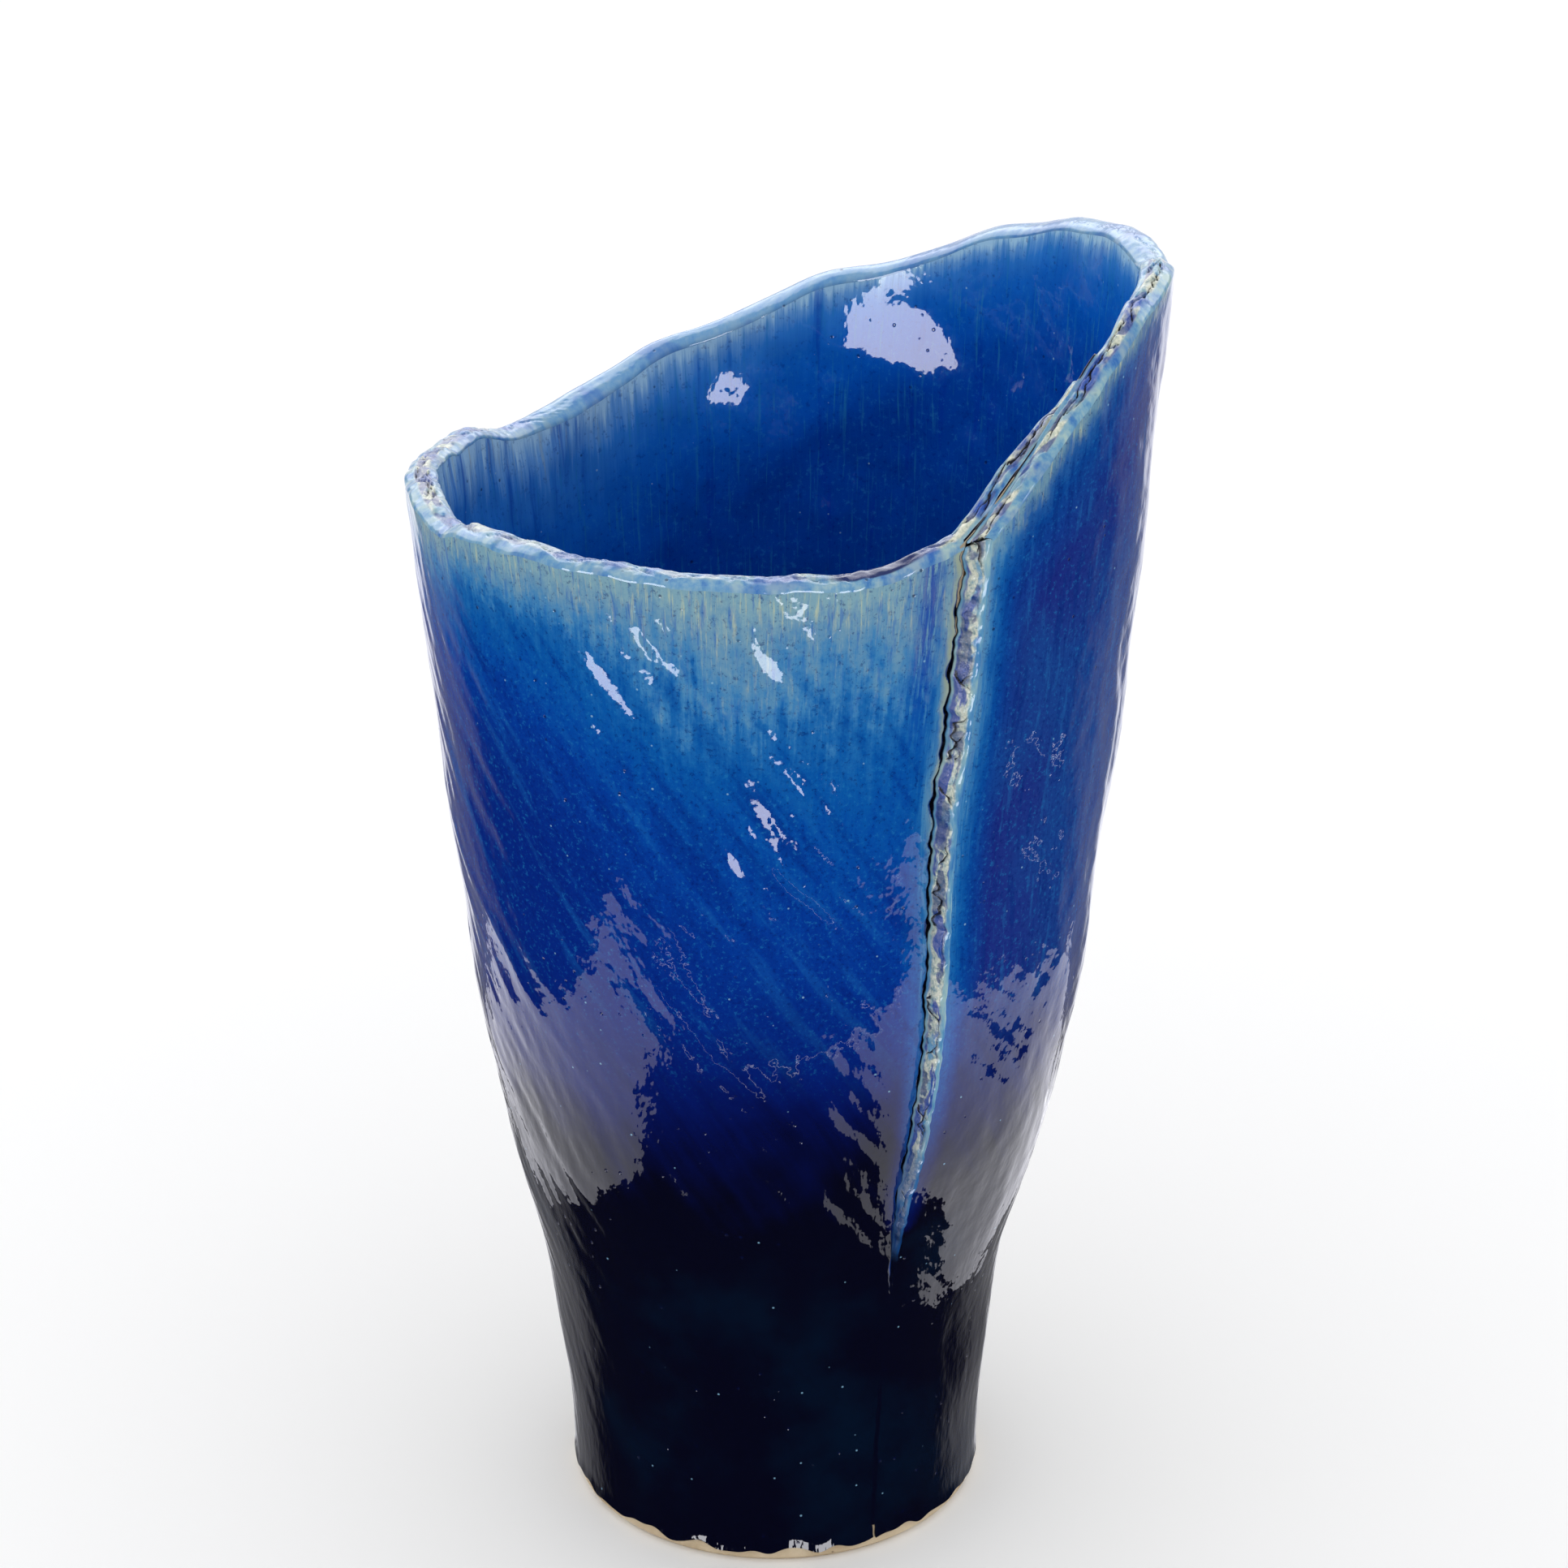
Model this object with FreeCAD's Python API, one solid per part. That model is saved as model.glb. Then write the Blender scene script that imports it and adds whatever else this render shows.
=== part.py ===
"""Slab-built stoneware vase: one rolled clay slab, wrapped round a floor disc and lapped over itself at the
front, with a torn rim cut on the slant. The clay is covered by a thin coat of glaze, inside and out.

Frame: +Z is up, the origin is the centre of the flat underside, and -Y is the front, where the seam shows.
Azimuths are in degrees anticlockwise from +X, seen from above. "along" is the angle travelled along the rolled
slab from its outer, torn edge at the seam: 0 at that edge, a full turn back under it, then on to the tucked end.
"""

import FreeCAD
import Part
import os
from math import cos, radians, sin

# Clay and glaze, in millimetres
SLAB = 8.0  # thickness of the rolled slab
FLOOR = 8.0  # thickness of the floor disc
GLAZE = 0.5  # thickness of each glaze coat
SLIP = 0.3  # thickness of the slip film in each joint

# Outside of the body: heights above the table, and radii over the glaze
FOOT_RADIUS = 58.5
WAIST_HEIGHT = 55.0
WAIST_RADIUS = 62.4
BELLY_HEIGHT = 130.0
BELLY_RADIUS = 77.0
SHOULDER_HEIGHT = 215.0
SHOULDER_RADIUS = 88.8
MOUTH_RADIUS = 102.6
LEAN = 0.8  # how far the mouth's centre stands over to -X
OVAL = 2.0  # how far the mouth is drawn out along OVAL_AZIMUTH and pressed in across it
OVAL_AZIMUTH = 40.0

# Rim heights above the table
RIM_SEAM = 322.8
RIM_PEAK = 372.0
RIM_DIP = 302.6
RIM_LEFT = 314.7
RIM_FRONT = 316.7
PEAK_AZIMUTH = -25.5
DIP_AZIMUTH = 138.0
LEFT_AZIMUTH = 205.0
FRONT_AZIMUTH = 272.0

# Torn lip across the slab's thickness
LIP_DROP_OUTSIDE = 2.5
LIP_DROP_INSIDE = 1.5
LIP_CROWN = 2.0

# Lap joint at the front
SEAM_AZIMUTH = -61.5
LAP = 26.0  # degrees of overlap
LAP_LAYER = 5.5  # thickness of each layer where the two are pressed together
FEATHER = 0.8  # thickness left at a smoothed-down edge
BEVEL_WIDTH = 5.0  # width of the torn edge, measured round the wall
BEVEL_LEFT = 0.2  # share of that width left where the seam is smoothed away
LAP_CLOSED_HEIGHT = 85.0  # below this the seam is smoothed away
LAP_OPEN_HEIGHT = 140.0  # above this the torn edge stands proud
LIFT_FADE = 95.0  # where the lifted layer is back on the round
THICKEN = 25.0  # degrees over which a pressed layer regains the slab's thickness

# Floor
COIL = 7.0  # leg of the clay coil pressed into the corner of the floor
COIL_EDGE = 0.6  # thickness left at the coil's upper and inner edges
COIL_CLEARANCE = 0.05
FOOT_CHAMFER = 1.4
GLAZE_LINE = 4.0  # height of the bare clay band above the table

FULL_TURN = 360.0
FINE_STEP = 4.0
COARSE_STEP = 10.0
FINE_REACH = 60.0  # degrees each side of the seam that get fine stations
ROWS = 20
RING_POINTS = 48
SEWING_TOLERANCE = 0.002


def smooth_step(low, high, value):
    """0 below low, 1 above high, and an even S between them."""
    share = min(1.0, max(0.0, (value - low) / (high - low)))
    return share * share * (3.0 - 2.0 * share)


def mix(first, second, share):
    """The value that lies share of the way from first to second."""
    return first + (second - first) * share


def curve_through(knots, at):
    """Height of the smooth curve through the (position, height) knots, with slopes taken from the neighbours."""
    last = len(knots) - 1
    at = min(max(at, knots[0][0]), knots[last][0])
    i = 0
    while i < last - 1 and at > knots[i + 1][0]:
        i += 1

    def slope(k):
        before, after = knots[max(k - 1, 0)], knots[min(k + 1, last)]
        return (after[1] - before[1]) / (after[0] - before[0])

    (x0, y0), (x1, y1) = knots[i], knots[i + 1]
    width = x1 - x0
    t = (at - x0) / width
    rise = y0 * (1 + 2 * t) * (1 - t) ** 2 + y1 * t * t * (3 - 2 * t)
    return rise + width * (slope(i) * t * (1 - t) ** 2 - slope(i + 1) * t * t * (1 - t))


PROFILE = [
    (0.0, FOOT_RADIUS),
    (WAIST_HEIGHT, WAIST_RADIUS),
    (BELLY_HEIGHT, BELLY_RADIUS),
    (SHOULDER_HEIGHT, SHOULDER_RADIUS),
    (RIM_PEAK, MOUTH_RADIUS),
]

RIM_TURN = [
    (SEAM_AZIMUTH, RIM_SEAM),
    (mix(SEAM_AZIMUTH, PEAK_AZIMUTH, 0.40), mix(RIM_SEAM, RIM_PEAK, 0.48)),
    (PEAK_AZIMUTH, RIM_PEAK),
    (mix(PEAK_AZIMUTH, DIP_AZIMUTH, 0.17), mix(RIM_PEAK, RIM_DIP, 0.04)),
    (mix(PEAK_AZIMUTH, DIP_AZIMUTH, 0.335), mix(RIM_PEAK, RIM_DIP, 0.10)),
    (mix(PEAK_AZIMUTH, DIP_AZIMUTH, 0.65), mix(RIM_PEAK, RIM_DIP, 0.57)),
    (mix(PEAK_AZIMUTH, DIP_AZIMUTH, 0.84), mix(RIM_PEAK, RIM_DIP, 0.83)),
    (DIP_AZIMUTH, RIM_DIP),
    (mix(DIP_AZIMUTH, LEFT_AZIMUTH, 0.45), mix(RIM_DIP, RIM_LEFT, 0.65)),
    (LEFT_AZIMUTH, RIM_LEFT),
    (mix(LEFT_AZIMUTH, FRONT_AZIMUTH, 0.52), mix(RIM_LEFT, RIM_FRONT, 0.5) + 2.8),
    (FRONT_AZIMUTH, RIM_FRONT),
    (mix(FRONT_AZIMUTH, SEAM_AZIMUTH + FULL_TURN, 0.65), mix(RIM_FRONT, RIM_SEAM, 0.26)),
]
RIM = (
    [(azimuth - FULL_TURN, height) for azimuth, height in RIM_TURN[-2:]]
    + RIM_TURN
    + [(azimuth + FULL_TURN, height) for azimuth, height in RIM_TURN]
)


def rim_height(azimuth):
    """Height of the torn rim's crown at an azimuth."""
    return curve_through(RIM, (azimuth - SEAM_AZIMUTH) % FULL_TURN + SEAM_AZIMUTH)


def body_radius(azimuth, z):
    """Radius of the bare clay at an azimuth and height, before the lap lifts it."""
    drawn = OVAL * smooth_step(0.0, SHOULDER_HEIGHT, z) * cos(radians(2 * (azimuth - OVAL_AZIMUTH)))
    return curve_through(PROFILE, z) - GLAZE + drawn


def place(azimuth, radius, z):
    """Point at an azimuth, radius and height, about the axis that leans towards -X."""
    turn = radians(azimuth)
    return FreeCAD.Vector(radius * cos(turn) - LEAN * z / RIM_PEAK, radius * sin(turn), z)


def lap_open(z):
    """1 where the torn edge stands free, 0 where the lap is pressed flat and smoothed away."""
    return smooth_step(LAP_CLOSED_HEIGHT, LAP_OPEN_HEIGHT, z)


def lap_face(under, z):
    """How far below the round of the body the two layers meet, at an angle inside the lap."""
    share = min(1.0, max(0.0, under / LAP))
    return (1.0 - lap_open(z)) * (FEATHER + (SLAB - 2 * FEATHER) * share)


def lift(along, z):
    """How far the slab is lifted off the round of the body, where it passes over its own tucked end."""
    return lap_open(z) * (LAP_LAYER + SLIP) * (1.0 - smooth_step(LAP, LIFT_FADE, along))


def outer_face(along, z):
    """Radius of the slab's outer face."""
    base = body_radius(SEAM_AZIMUTH + along, z)
    if along > FULL_TURN:
        return base - lap_face(along - FULL_TURN, z)
    tucked = lap_face(0.0, z) * smooth_step(FULL_TURN - 2 * FINE_STEP, FULL_TURN, along)
    return base + lift(along, z) - tucked


def inner_face(along, z):
    """Radius of the slab's inner face."""
    base = body_radius(SEAM_AZIMUTH + along, z)
    if along < LAP:
        return base - lap_face(along, z) + SLIP
    pressed = base - lap_face(LAP, z) + SLIP
    full = base + lift(along, z) - SLAB
    thin = lap_open(z) * (SLAB - LAP_LAYER) * smooth_step(FULL_TURN - THICKEN, FULL_TURN, along)
    return mix(pressed, full, smooth_step(LAP, LAP + THICKEN, along)) + thin


def lip_height(azimuth, through):
    """Height of the lip: through is 0 at the slab's outer face and 1 at its inner face."""
    drop = mix(LIP_DROP_OUTSIDE, LIP_DROP_INSIDE, through)
    return rim_height(azimuth) - drop + LIP_CROWN * 4 * through * (1.0 - through)


def bevelled(along, up, through, bottom):
    """Azimuth and height in the slab. The torn edge slants, so the outer face starts further along."""
    nominal = mix(bottom, lip_height(SEAM_AZIMUTH + along, through), up)
    bevel = BEVEL_WIDTH * mix(BEVEL_LEFT, 1.0, lap_open(nominal)) / radians(body_radius(SEAM_AZIMUTH, nominal))
    along += (1.0 - through) * bevel * max(0.0, 1.0 - along / LAP)
    return along, mix(bottom, lip_height(SEAM_AZIMUTH + along, through), up)


def wall_point(along, up, through):
    """Point in the slab: along its length, up its height and through its thickness."""
    along, z = bevelled(along, up, through, FLOOR + SLIP)
    return place(SEAM_AZIMUTH + along, mix(outer_face(along, z), inner_face(along, z), through), z)


def spline(points, at):
    """Cubic curve through the points at the given parameters. Two points make a straight line."""
    curve = Part.BSplineCurve()
    if len(points) == 2:
        curve.buildFromPolesMultsKnots(points, [2, 2], [at[0], at[-1]], False, 1)
    else:
        curve.interpolate(Points=points, Parameters=at)
    return curve


def patch(point, across, down):
    """Face through point(a, d) at every station across and down. Patches of one block share their edges."""
    rows = [spline([point(a, d) for a in across], across) for d in down]
    poles = [row.getPoles() for row in rows]
    columns = [spline([row[i] for row in poles], down) for i in range(len(poles[0]))]
    surface = Part.BSplineSurface()
    surface.buildFromPolesMultsKnots(
        [column.getPoles() for column in columns],
        rows[0].getMultiplicities(),
        columns[0].getMultiplicities(),
        rows[0].getKnots(),
        columns[0].getKnots(),
        False,
        False,
        rows[0].Degree,
        columns[0].Degree,
    )
    return surface.toShape()


def closed_solid(faces):
    """Faces that share their edges, sewn into one outward-facing solid."""
    shape = Part.makeCompound(faces)
    shape.sewShape(SEWING_TOLERANCE)
    solid = Part.makeSolid(shape.Shells[0])
    if solid.Volume < 0:
        solid.reverse()
    return solid


def block(point, along, up, through):
    """Solid whose six faces are where along, up or through is at its first or last station."""
    faces = []
    for side in (through[0], through[-1]):
        faces.append(patch(lambda a, u, t=side: point(a, u, t), along, up))
    for side in (up[0], up[-1]):
        faces.append(patch(lambda a, t, u=side: point(a, u, t), along, through))
    for side in (along[0], along[-1]):
        faces.append(patch(lambda u, t, a=side: point(a, u, t), up, through))
    return closed_solid(faces)


def stations(start, end):
    """Angles along the slab: close together near the lap, wide apart round the back."""
    found = [start]
    while True:
        near = found[-1] < FINE_REACH or found[-1] >= FULL_TURN - FINE_REACH
        following = found[-1] + (FINE_STEP if near else COARSE_STEP)
        if following > end - FINE_STEP / 2:
            return found + [end]
        found.append(following)


def shares(count):
    """Even shares from 0 to 1."""
    return [i / (count - 1) for i in range(count)]


def ring_wire(radius, z):
    """Closed smooth outline at height z, where radius is a function of the azimuth."""
    turns = [FULL_TURN * i / RING_POINTS for i in range(RING_POINTS)]
    curve = Part.BSplineCurve()
    curve.interpolate(Points=[place(turn, radius(turn), z) for turn in turns], PeriodicFlag=True)
    return Part.Wire(curve.toShape())


def ring_loft(levels):
    """Solid through closed outlines, given as (inset from the bare clay, height) pairs."""
    wires = [ring_wire(lambda turn, z=z, inset=inset: body_radius(turn, z) - inset, z) for inset, z in levels]
    return Part.makeLoft(wires, True, True)


def make_wall_slab():
    """The rolled slab: it stands on the floor disc and laps over itself."""
    return block(wall_point, stations(0.0, FULL_TURN + LAP), shares(ROWS), shares(5))


def make_floor_slab():
    """The disc that the wall stands on, with its lower edge sponged off."""
    return ring_loft([(FOOT_CHAMFER, 0.0), (0.0, FOOT_CHAMFER), (0.0, FLOOR)])


def make_floor_joint_slip():
    """Film of slip between the floor disc and the wall's lower edge."""
    film = ring_loft([(0.0, FLOOR), (0.0, FLOOR + SLIP)])
    return film.cut(ring_loft([(SLAB, FLOOR - SLIP), (SLAB, FLOOR + 2 * SLIP)]))


def floor_hollow(inset):
    """Space inside the coil, taken in by inset from the clay."""
    low, top = FLOOR + inset, FLOOR + COIL
    reach = SLAB + COIL_CLEARANCE + inset
    return ring_loft([(reach + COIL, low), (reach + COIL_EDGE, top)])


def make_floor_joint_coil():
    """Coil of clay pressed into the corner between wall and floor."""
    reach = SLAB + COIL_CLEARANCE
    ring = ring_loft([(reach, FLOOR), (reach, FLOOR + COIL)])
    return ring.cut(floor_hollow(0.0))


def make_floor_glaze():
    """Glaze pooled on the floor and over the coil."""
    return floor_hollow(0.0).cut(floor_hollow(GLAZE))


def make_lap_joint_slip():
    """Film of slip between the two layers of the lap."""

    def point(along, up, through):
        azimuth = SEAM_AZIMUTH + along
        top = rim_height(azimuth) - LIP_DROP_OUTSIDE
        z = mix(FLOOR + SLIP, top, up)
        interface = body_radius(azimuth, z) - lap_face(along, z)
        return place(azimuth, interface + SLIP * (1.0 - through), z)

    inset = FINE_STEP / 4
    return block(point, stations(inset, LAP - inset), shares(ROWS), [0.0, 1.0])


def make_outer_glaze():
    """Glaze over the outside of the wall and the upper part of the floor disc's edge."""

    def point(along, up, through):
        along, z = bevelled(along, up, 0.0, GLAZE_LINE)
        return place(SEAM_AZIMUTH + along, outer_face(along, z) + GLAZE * (1.0 - through), z)

    return block(point, stations(0.0, FULL_TURN), shares(ROWS), [0.0, 1.0])


def make_seam_edge_glaze():
    """Glaze broken over the torn edge of the lap: along runs up the slant of the edge."""

    def point(along, up, through):
        foot = wall_point(0.0, up, 1.0)
        brow = wall_point(0.0, up, 0.0)
        turn = radians(SEAM_AZIMUTH - 90.0)
        out = FreeCAD.Vector(cos(turn), sin(turn), 0.0) * (GLAZE * (1.0 - through))
        return foot + (brow - foot) * along + out

    return block(point, [0.0, 1.0], shares(ROWS), [0.0, 1.0])


def make_lap_end_glaze():
    """Glaze over the tucked end of the slab, where it shows inside the vase."""
    end = FULL_TURN + LAP

    def point(along, up, through):
        outer = wall_point(end, up, 0.0)
        inner = wall_point(end, up, 1.0)
        turn = radians(SEAM_AZIMUTH + LAP + 90.0)
        out = FreeCAD.Vector(cos(turn), sin(turn), 0.0) * (GLAZE * (1.0 - through))
        return inner + (outer - inner) * along + out

    above_coil = [mix(COIL / RIM_DIP, 1.0, share) for share in shares(ROWS)]
    return block(point, [0.0, 1.0], above_coil, [0.0, 1.0])


def make_rim_glaze():
    """Glaze over the torn lip, all the way round and along both layers of the lap."""

    def point(along, up, through):
        return wall_point(along, 1.0, through) + FreeCAD.Vector(0.0, 0.0, GLAZE * up)

    return block(point, stations(0.0, FULL_TURN + LAP), [0.0, 1.0], shares(5))


def make_liner_glaze():
    """Glaze over the inside of the wall, from the coil to the lip."""

    def point(along, up, through):
        azimuth = SEAM_AZIMUTH + along
        z = mix(FLOOR + COIL, lip_height(azimuth, 1.0), up)
        return place(azimuth, inner_face(along, z) - GLAZE * through, z)

    clear = GLAZE / radians(FOOT_RADIUS)
    return block(point, stations(LAP + clear, FULL_TURN + LAP), shares(ROWS), [0.0, 1.0])


PARTS = {
    "wall_slab": make_wall_slab,
    "floor_slab": make_floor_slab,
    "floor_joint_slip": make_floor_joint_slip,
    "floor_joint_coil": make_floor_joint_coil,
    "lap_joint_slip": make_lap_joint_slip,
    "outer_glaze": make_outer_glaze,
    "seam_edge_glaze": make_seam_edge_glaze,
    "rim_glaze": make_rim_glaze,
    "liner_glaze": make_liner_glaze,
    "lap_end_glaze": make_lap_end_glaze,
    "floor_glaze": make_floor_glaze,
}

os.makedirs("parts", exist_ok=True)
for name, make in PARTS.items():
    shape = make()
    shape.exportStep("parts/" + name + ".step")
    box = shape.BoundBox
    print(
        f"{name}: valid {shape.isValid()}, solids {len(shape.Solids)}, volume {shape.Volume / 1000:.1f} cm3, "
        f"x {box.XMin:.1f} to {box.XMax:.1f}, y {box.YMin:.1f} to {box.YMax:.1f}, z {box.ZMin:.1f} to {box.ZMax:.1f}"
    )
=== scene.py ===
"""Slab-built stoneware vase, glazed inside and out, on a pale studio floor.

Blender's units are metres, with +Z up, the middle of the flat foot at the origin and the lap seam on the
-Y side. Sizes of clay are in millimetres until a mesh is made. Azimuths are in degrees anticlockwise from
+X, seen from above. "along" is the angle travelled along the rolled slab from its outer, torn edge at the
seam: 0 at that edge, a full turn back under it, then on to the tucked end.
"""

import bpy
import numpy as np
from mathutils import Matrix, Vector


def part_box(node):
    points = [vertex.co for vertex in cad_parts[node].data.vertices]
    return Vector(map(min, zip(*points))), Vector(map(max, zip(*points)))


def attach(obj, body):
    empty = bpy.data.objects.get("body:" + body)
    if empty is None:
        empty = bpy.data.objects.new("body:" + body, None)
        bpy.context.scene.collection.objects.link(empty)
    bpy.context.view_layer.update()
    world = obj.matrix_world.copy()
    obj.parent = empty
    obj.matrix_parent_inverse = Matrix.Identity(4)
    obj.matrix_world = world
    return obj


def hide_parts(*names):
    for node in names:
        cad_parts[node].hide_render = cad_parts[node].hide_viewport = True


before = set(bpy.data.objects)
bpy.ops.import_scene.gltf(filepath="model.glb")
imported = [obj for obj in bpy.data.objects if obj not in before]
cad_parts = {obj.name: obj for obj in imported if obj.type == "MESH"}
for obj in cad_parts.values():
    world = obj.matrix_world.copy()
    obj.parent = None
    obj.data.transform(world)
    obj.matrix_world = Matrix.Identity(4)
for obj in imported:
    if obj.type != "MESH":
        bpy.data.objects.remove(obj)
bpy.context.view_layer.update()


# ---- The clay slab -------------------------------------------------------------------------------------
# One rolled sheet of cream stoneware, wrapped round the floor disc and lapped over itself at the front. It
# was beaten on with a grooved paddle while soft, so its face is all shallow dents. Its edges were left torn.

MM = 0.001
FULL_TURN = 360.0
SLAB = 8.0
GLAZE = 0.5
SLIP = 0.3
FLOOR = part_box("floor_slab")[1][2] / MM
SHOULDER = 215.0
RIM_SEAM = 322.8
RIM_PEAK = 372.0
RIM_DIP = 302.6
RIM_LEFT = 314.7
RIM_FRONT = 316.7
PEAK_AZIMUTH = -25.5
DIP_AZIMUTH = 138.0
LEFT_AZIMUTH = 205.0
FRONT_AZIMUTH = 272.0
FRONT_SWELL = 2.8
LEAN = 0.8
OVAL = 2.0
OVAL_AZIMUTH = 40.0
MEAN_RADIUS = 88.0
SEAM = -61.5
LAP = 26.0
LAP_LAYER = 5.5
FEATHER = 0.8
BEVEL_WIDTH = 4.2
BEVEL_LEFT = 0.2
LAP_CLOSED = 85.0
LAP_OPEN = 140.0
LIFT_FADE = 95.0
THICKEN = 25.0
TUCK = 8.0
LIP_OUTSIDE = 2.5
LIP_INSIDE = 1.5
ROLLED_IN = 2.5
END_SINKS = 7.0
END_LENGTH = 13.0
BEVEL_FULL = 290.0
BED_DEPTH = 2.3
BED_WIDTH = 2.2
FLUTE_DEPTH = 0.085
SCRATCH_DEPTH = 0.005
SWELL_DEPTH = 0.45
HOLLOW_LENGTH = 66.0
WALL_ROWS = 130
COAT_CLEARANCE = 0.2

PROFILE = [(0, 58.5), (55, 62.4), (130, 77.0), (SHOULDER, 88.8), (RIM_PEAK, 102.6)]
HOLLOWS = [(131, 319, 1.9), (162, 300, 1.75)]
STRUCK_HARD = [(336, 246, 2.2), (309, 287, 1.3), (302, 200, -0.7)]
TORN = [
    (0, 1), (50, 0.95), (72, 0.3), (100, 0.1), (185, 0.12), (235, 0.8), (265, 0.75), (290, 0.55),
    (330, 0.6), (350, 1), (386, 1),
]
SEAM_WANDER = [
    (90, -0.4), (120, -1.4), (150, -0.1), (176, 0.5), (205, -0.2), (245, -0.9), (275, 0.4), (320, 1.8),
]


def smooth_step(low, high, value):
    """0 below low, 1 above high, and 3t^2 - 2t^3 between them."""
    share = np.clip((value - low) / (high - low), 0.0, 1.0)
    return share * share * (3.0 - 2.0 * share)


def mix(first, second, share):
    """first + (second - first) times share."""
    return first + (second - first) * share


def rim_between(start, end, turned, climbed):
    """A knot of the rim: azimuth and height at shares of the way from one knot to another, to a tenth."""
    return round(mix(start[0], end[0], turned), 1), round(mix(start[1], end[1], climbed), 1)


AT_SEAM = (SEAM, RIM_SEAM)
AT_PEAK = (PEAK_AZIMUTH, RIM_PEAK)
AT_DIP = (DIP_AZIMUTH, RIM_DIP)
AT_LEFT = (LEFT_AZIMUTH, RIM_LEFT)
AT_FRONT = (FRONT_AZIMUTH, RIM_FRONT)
AT_SEAM_AGAIN = (SEAM + FULL_TURN, RIM_SEAM)
FRONT_LEFT = rim_between(AT_LEFT, AT_FRONT, 0.52, 0.5)
RIM = [
    AT_SEAM, rim_between(AT_SEAM, AT_PEAK, 0.40, 0.48),
    AT_PEAK, rim_between(AT_PEAK, AT_DIP, 0.17, 0.04), rim_between(AT_PEAK, AT_DIP, 0.335, 0.10),
    rim_between(AT_PEAK, AT_DIP, 0.65, 0.57), rim_between(AT_PEAK, AT_DIP, 0.84, 0.83),
    AT_DIP, rim_between(AT_DIP, AT_LEFT, 0.45, 0.65),
    AT_LEFT, (FRONT_LEFT[0], FRONT_LEFT[1] + FRONT_SWELL),
    AT_FRONT, rim_between(AT_FRONT, AT_SEAM_AGAIN, 0.65, 0.26), AT_SEAM_AGAIN,
]


def curve_through(knots, at):
    """Cubic Hermite curve through the knots, with the slope of its neighbours' chord at each."""
    x, y = np.array(knots, float).T
    ends = np.arange(len(x))
    before, after = np.maximum(ends - 1, 0), np.minimum(ends + 1, len(x) - 1)
    slope = (y[after] - y[before]) / (x[after] - x[before])
    at = np.clip(at, x[0], x[-1])
    i = np.clip(np.searchsorted(x, at, side="right") - 1, 0, len(x) - 2)
    width = x[i + 1] - x[i]
    t = (at - x[i]) / width
    rise = y[i] * (1 + 2 * t) * (1 - t) ** 2 + y[i + 1] * t * t * (3 - 2 * t)
    return rise + width * (slope[i] * t * (1 - t) ** 2 - slope[i + 1] * t * t * (1 - t))


def ripples(s, z, seed, length, spread, crest, waver, count=24):
    """Sum of cosines, mean square 1. Waves are about length long; crests run about crest degrees from +s."""
    draw = np.random.default_rng(seed)
    total = np.zeros(np.broadcast(s, z).shape)
    for _ in range(count):
        across = np.radians(crest + 90.0 + draw.normal() * waver)
        wave = 2 * np.pi / (length * np.exp(draw.normal() * spread))
        total += np.cos(wave * (s * np.cos(across) + z * np.sin(across)) + draw.uniform(0, 2 * np.pi))
    return total * np.sqrt(2.0 / count)


def swells(azimuth, z, seed, length, count=18):
    """Sum of cosines in space, mean square 1, read on a cylinder, so that it closes on itself all round."""
    draw = np.random.default_rng(seed)
    turn = np.radians(azimuth)
    total = np.zeros(np.broadcast(azimuth, z).shape)
    for _ in range(count):
        heading = draw.normal(size=3)
        heading *= 2 * np.pi / (length * np.linalg.norm(heading))
        flat = MEAN_RADIUS * (heading[0] * np.cos(turn) + heading[1] * np.sin(turn))
        total += np.cos(flat + heading[2] * z + draw.uniform(0, 2 * np.pi))
    return total * np.sqrt(2.0 / count)


def arc(along):
    """Millimetres round the wall to an angle along the slab, at the wall's mean radius."""
    return np.radians(along) * MEAN_RADIUS


def from_seam(along):
    """Degrees to the seam, whichever way round is shorter."""
    return np.minimum(along, np.abs(FULL_TURN - along))


def torn_share(along):
    """How torn the rim was left, from 0 to 1: ragged by the seam and at the left, smooth at the back."""
    return curve_through(TORN, along)


def rag(along):
    """Millimetres by which the rim stands above or below its smooth line: long sways and small tears."""
    s = arc(along)
    sway = 0.75 * ripples(s, 0.0, 31, 44.0, 0.3, 90.0, 0.0)
    tears = 0.20 * ripples(s, 0.0, 32, 14.0, 0.3, 90.0, 0.0)
    tears += 0.07 * ripples(s, 0.0, 33, 5.0, 0.3, 90.0, 0.0)
    return sway + tears * torn_share(along)


def lip_edge(along, through):
    """Height of the lip. through is 0 at the slab's outer face and 1 at its inner face."""
    crown = curve_through(RIM, (along % FULL_TURN) + SEAM)
    rolled = LIP_INSIDE + ROLLED_IN * (1.0 - torn_share(along))
    sunk_end = END_SINKS * smooth_step(FULL_TURN + LAP - END_LENGTH, FULL_TURN + LAP, along)
    return crown - mix(LIP_OUTSIDE, rolled, through) + rag(along) - sunk_end


def body_radius(along, z):
    """Radius of the bare clay: the profile, drawn out by a cosine of twice the azimuth towards the mouth."""
    drawn = OVAL * smooth_step(0.0, SHOULDER, z) * np.cos(np.radians(2 * (SEAM + along - OVAL_AZIMUTH)))
    return curve_through(PROFILE, z) - GLAZE + drawn


def lap_open(z):
    """1 where the torn edge stands free, 0 where the lap is pressed flat and smoothed away."""
    return smooth_step(LAP_CLOSED, LAP_OPEN, z)


def lap_face(under, z):
    """Depth of the joint in the lap below the round of the body: a straight slant from edge to edge."""
    return (1.0 - lap_open(z)) * (FEATHER + (SLAB - 2 * FEATHER) * np.clip(under / LAP, 0.0, 1.0))


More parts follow.
